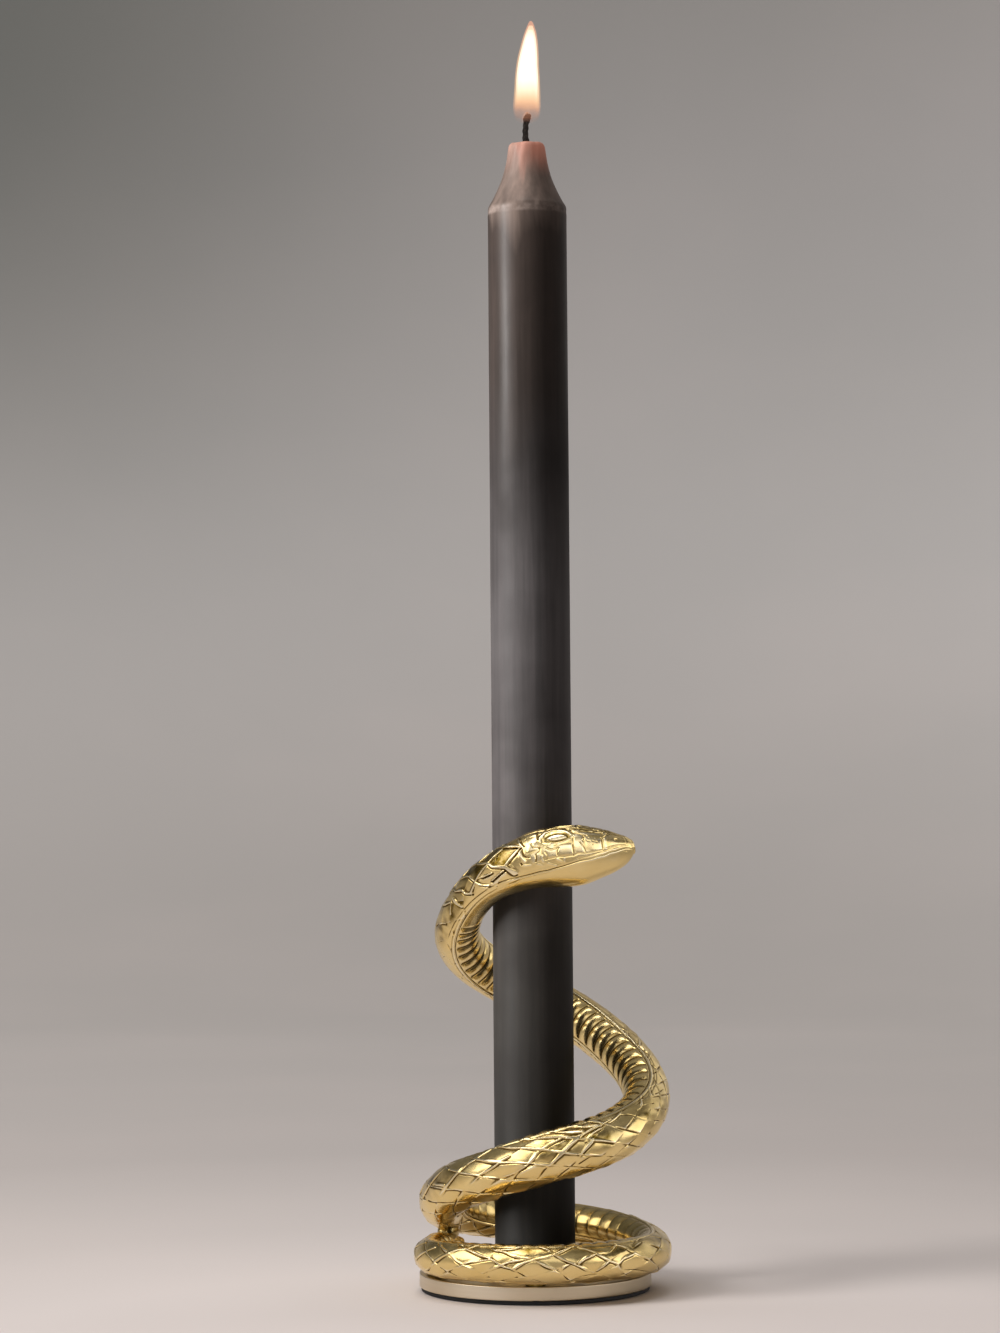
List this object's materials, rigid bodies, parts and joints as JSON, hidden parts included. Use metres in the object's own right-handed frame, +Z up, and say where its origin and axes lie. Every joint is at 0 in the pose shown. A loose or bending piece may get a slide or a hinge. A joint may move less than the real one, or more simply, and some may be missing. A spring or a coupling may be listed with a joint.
{
  "type": "taper candle holder",
  "caption": "Cast snake coiled up round a tall taper candle, fixed on a round base disc with a shallow cup and a pricket that hold the candle.",
  "frame": {"origin": "centre of the base pad's underside, on the candle's axis", "axes": "+Z up along the candle, +X the way the snake's head points, -Y the side where the head passes in front of the candle"},
  "size_m": [0.0706, 0.0741, 0.3481],
  "materials": {
    "snake_gold": "polished",
    "disc_metal": "satin",
    "pad_rubber": "matte",
    "cup_brass": "satin",
    "screw_steel": "satin",
    "wax": "satin",
    "wick_cotton": "matte",
    "flame": "matte"
  },
  "bodies": {
    "holder": {"snake_casting": "snake_gold", "base_disc": "disc_metal", "base_pad": "pad_rubber", "candle_cup": "cup_brass", "pricket": "screw_steel", "pricket_screw": "screw_steel", "snake_screw_1": "screw_steel", "snake_screw_2": "screw_steel", "snake_screw_3": "screw_steel"},
    "taper": {"candle": "wax", "wick": "wick_cotton", "flame": "flame"}
  },
  "joints": [
    {"name": "candle_lift", "type": "slide", "parent": "holder", "child": "taper", "axis": [0, 0, 1], "range_m": [0, 0.14]}
  ]
}
